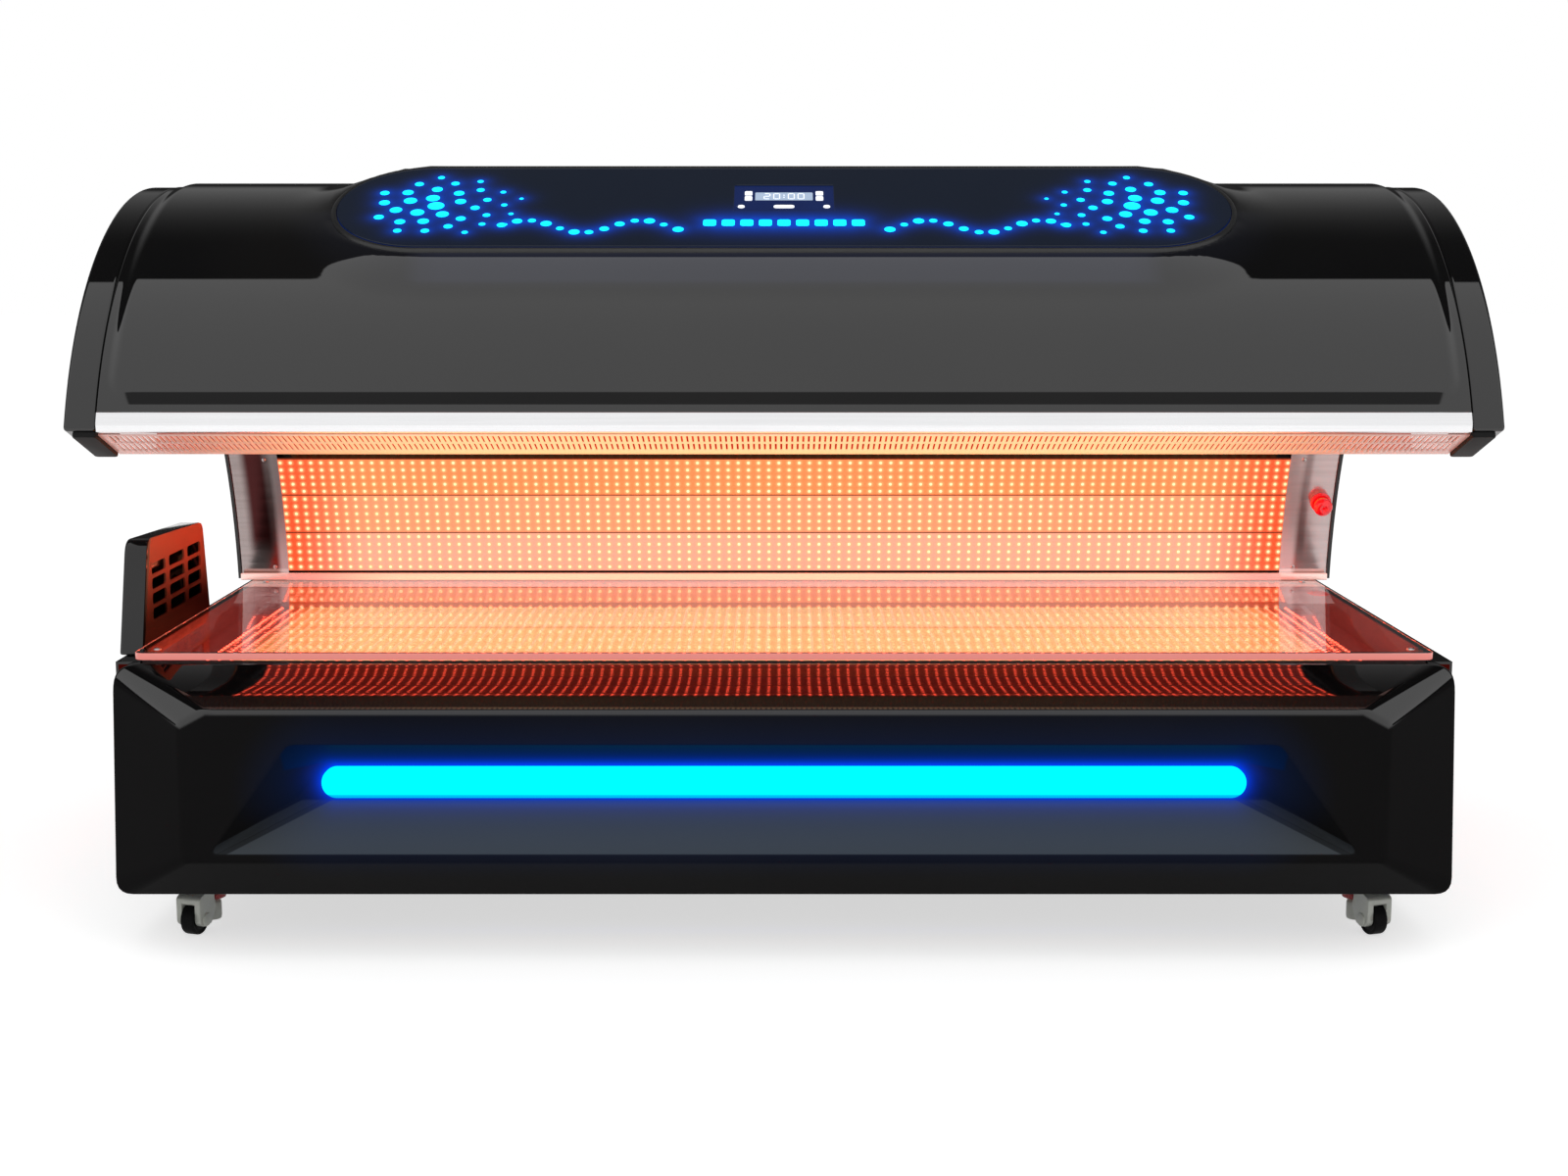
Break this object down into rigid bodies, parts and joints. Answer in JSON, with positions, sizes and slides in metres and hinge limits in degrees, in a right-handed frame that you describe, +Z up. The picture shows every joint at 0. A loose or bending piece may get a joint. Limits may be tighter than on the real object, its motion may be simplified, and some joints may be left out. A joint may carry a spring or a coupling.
{
  "type": "red light therapy bed",
  "caption": "Clamshell light therapy bed with a hinged lit canopy, clear bed sheet over lamps, curved lit rear wall, fan tower, control panel and levelling casters.",
  "frame": {"origin": "centre of the floor area at rest, on the floor under the caster wheels", "axes": "+X along the bed, +Y from the open front to the hinged rear, +Z up"},
  "size_m": [2.198, 1.3412, 1.2118],
  "materials": {
    "gloss_black": "high gloss moulded cover",
    "satin_black": "satin moulded plastic",
    "frame_black": "powder coated steel",
    "steel": "brushed steel",
    "trim_aluminium": "anodised extrusion",
    "polished_panel": "polished sheet",
    "led_board": "metal core board with lamps",
    "clear_sheet": "clear cast acrylic",
    "cyan_glow": "lit diffuser",
    "panel_lens": "printed glossy front",
    "screen": "lit display",
    "key": "moulded key",
    "stop_red": "glossy red plastic",
    "stop_yellow": "yellow plastic ring",
    "caster_grey": "cast alloy",
    "wheel_black": "nylon",
    "foot_red": "moulded thumb wheel and pad"
  },
  "bodies": {
    "base": {"base_end_cover_left": "gloss_black", "base_end_cover_right": "gloss_black", "base_frame": "frame_black", "base_front_cover": "gloss_black", "base_rear_cover": "gloss_black", "bed_led_board": "led_board", "bed_sheet": "clear_sheet", "bed_tray": "frame_black", "estop_collar": "stop_red", "gas_cylinder_left": "frame_black", "gas_cylinder_right": "frame_black", "hinge_bracket_left": "steel", "hinge_bracket_right": "steel", "led_driver": "polished_panel", "light_bar": "cyan_glow", "mains_inlet": "satin_black", "rear_cheek_left": "polished_panel", "rear_cheek_right": "polished_panel", "rear_led_board_1": "led_board", "rear_led_board_2": "led_board", "rear_led_board_3": "led_board", "rear_wall_pan": "gloss_black", "rear_wall_trim": "trim_aluminium", "tower_cover": "gloss_black", "tower_fan_frame": "satin_black", "tower_grille": "gloss_black"},
    "canopy": {"canopy_end_cap_left": "gloss_black", "canopy_end_cap_right": "gloss_black", "canopy_led_board_1": "led_board", "canopy_led_board_2": "led_board", "canopy_led_board_3": "led_board", "canopy_rib_left": "steel", "canopy_rib_right": "steel", "canopy_rim_plate": "polished_panel", "canopy_shell": "gloss_black", "canopy_trim": "trim_aluminium", "canopy_under_plate": "frame_black", "control_housing": "gloss_black", "control_lens": "panel_lens", "control_screen": "screen"},
    "caster_foot_front_left": {"caster_foot_front_left": "foot_red"},
    "caster_foot_front_right": {"caster_foot_front_right": "foot_red"},
    "caster_foot_rear_left": {"caster_foot_rear_left": "foot_red"},
    "caster_foot_rear_right": {"caster_foot_rear_right": "foot_red"},
    "caster_housing_front_left": {"caster_housing_front_left": "caster_grey"},
    "caster_housing_front_right": {"caster_housing_front_right": "caster_grey"},
    "caster_housing_rear_left": {"caster_housing_rear_left": "caster_grey"},
    "caster_housing_rear_right": {"caster_housing_rear_right": "caster_grey"},
    "caster_wheel_front_left": {"caster_wheel_front_left": "wheel_black"},
    "caster_wheel_front_right": {"caster_wheel_front_right": "wheel_black"},
    "caster_wheel_rear_left": {"caster_wheel_rear_left": "wheel_black"},
    "caster_wheel_rear_right": {"caster_wheel_rear_right": "wheel_black"},
    "estop_head": {"estop_head": "stop_red"},
    "estop_stem": {"estop_stem": "stop_yellow"},
    "gas_rod_left": {"gas_rod_left": "steel"},
    "gas_rod_right": {"gas_rod_right": "steel"},
    "key_left": {"key_left": "key"},
    "key_right": {"key_right": "key"},
    "start_key": {"start_key": "key"},
    "tower_fan_rotor": {"tower_fan_rotor": "satin_black"}
  },
  "joints": [
    {"name": "canopy_lift", "type": "hinge", "parent": "base", "child": "canopy", "pos_m": [0, 0.37841, 0.38], "axis": [-1, 0, 0], "range_deg": [-19.2, 22]},
    {"name": "gas_rod_slide_left", "type": "slide", "parent": "base", "child": "gas_rod_left", "axis": [0, 0, 1], "range_m": [-0.0404, 0.0463]},
    {"name": "gas_rod_slide_right", "type": "slide", "parent": "base", "child": "gas_rod_right", "axis": [0, 0, 1], "range_m": [-0.0404, 0.0463]},
    {"name": "estop_push", "type": "slide", "parent": "base", "child": "estop_stem", "axis": [0, 0.9438, 0.3305], "range_m": [0, 0.005]},
    {"name": "estop_twist", "type": "hinge", "parent": "estop_stem", "child": "estop_head", "pos_m": [1.001, 0.23239, 0.60757], "axis": [0, -0.9438, -0.3305], "range_deg": [-30, 30], "stiffness_Nm_per_rad": 0.05},
    {"name": "start_key_press", "type": "slide", "parent": "canopy", "child": "start_key", "axis": [0, 0.4545, -0.8908], "range_m": [0, 0.0012], "stiffness_N_per_m": 800},
    {"name": "key_left_press", "type": "slide", "parent": "canopy", "child": "key_left", "axis": [0, 0.4545, -0.8908], "range_m": [0, 0.0012], "stiffness_N_per_m": 800},
    {"name": "key_right_press", "type": "slide", "parent": "canopy", "child": "key_right", "axis": [0, 0.4545, -0.8908], "range_m": [0, 0.0012], "stiffness_N_per_m": 800},
    {"name": "fan_spin", "type": "hinge", "parent": "base", "child": "tower_fan_rotor", "pos_m": [-1.0223, -0.27209, 0.4958], "axis": [1, 0, 0], "continuous": true},
    {"name": "caster_swivel_front_left", "type": "hinge", "parent": "base", "child": "caster_housing_front_left", "pos_m": [-0.915, -0.45159, 0.05], "axis": [0, 0, 1], "continuous": true},
    {"name": "caster_roll_front_left", "type": "hinge", "parent": "caster_housing_front_left", "child": "caster_wheel_front_left", "pos_m": [-0.93107, -0.50105, 0.025], "axis": [0.9511, -0.309, 0], "continuous": true},
    {"name": "caster_foot_screw_front_left", "type": "slide", "parent": "caster_housing_front_left", "child": "caster_foot_front_left", "axis": [0, 0, -1], "range_m": [0, 0.0105]},
    {"name": "caster_swivel_front_right", "type": "hinge", "parent": "base", "child": "caster_housing_front_right", "pos_m": [0.915, -0.45159, 0.05], "axis": [0, 0, 1], "continuous": true},
    {"name": "caster_roll_front_right", "type": "hinge", "parent": "caster_housing_front_right", "child": "caster_wheel_front_right", "pos_m": [0.93107, -0.50105, 0.025], "axis": [0.9511, 0.309, 0], "continuous": true},
    {"name": "caster_foot_screw_front_right", "type": "slide", "parent": "caster_housing_front_right", "child": "caster_foot_front_right", "axis": [0, 0, -1], "range_m": [0, 0.0105]},
    {"name": "caster_swivel_rear_left", "type": "hinge", "parent": "base", "child": "caster_housing_rear_left", "pos_m": [-0.915, 0.39841, 0.05], "axis": [0, 0, 1], "continuous": true},
    {"name": "caster_roll_rear_left", "type": "hinge", "parent": "caster_housing_rear_left", "child": "caster_wheel_rear_left", "pos_m": [-0.93107, 0.34895, 0.025], "axis": [0.9511, -0.309, 0], "continuous": true},
    {"name": "caster_foot_screw_rear_left", "type": "slide", "parent": "caster_housing_rear_left", "child": "caster_foot_rear_left", "axis": [0, 0, -1], "range_m": [0, 0.0105]},
    {"name": "caster_swivel_rear_right", "type": "hinge", "parent": "base", "child": "caster_housing_rear_right", "pos_m": [0.915, 0.39841, 0.05], "axis": [0, 0, 1], "continuous": true},
    {"name": "caster_roll_rear_right", "type": "hinge", "parent": "caster_housing_rear_right", "child": "caster_wheel_rear_right", "pos_m": [0.93107, 0.34895, 0.025], "axis": [0.9511, 0.309, 0], "continuous": true},
    {"name": "caster_foot_screw_rear_right", "type": "slide", "parent": "caster_housing_rear_right", "child": "caster_foot_rear_right", "axis": [0, 0, -1], "range_m": [0, 0.0105]}
  ],
  "couplings": [
    {"joint": "gas_rod_slide_left", "follows": "canopy_lift", "m_per_rad": 0.12},
    {"joint": "gas_rod_slide_right", "follows": "canopy_lift", "m_per_rad": 0.12}
  ]
}
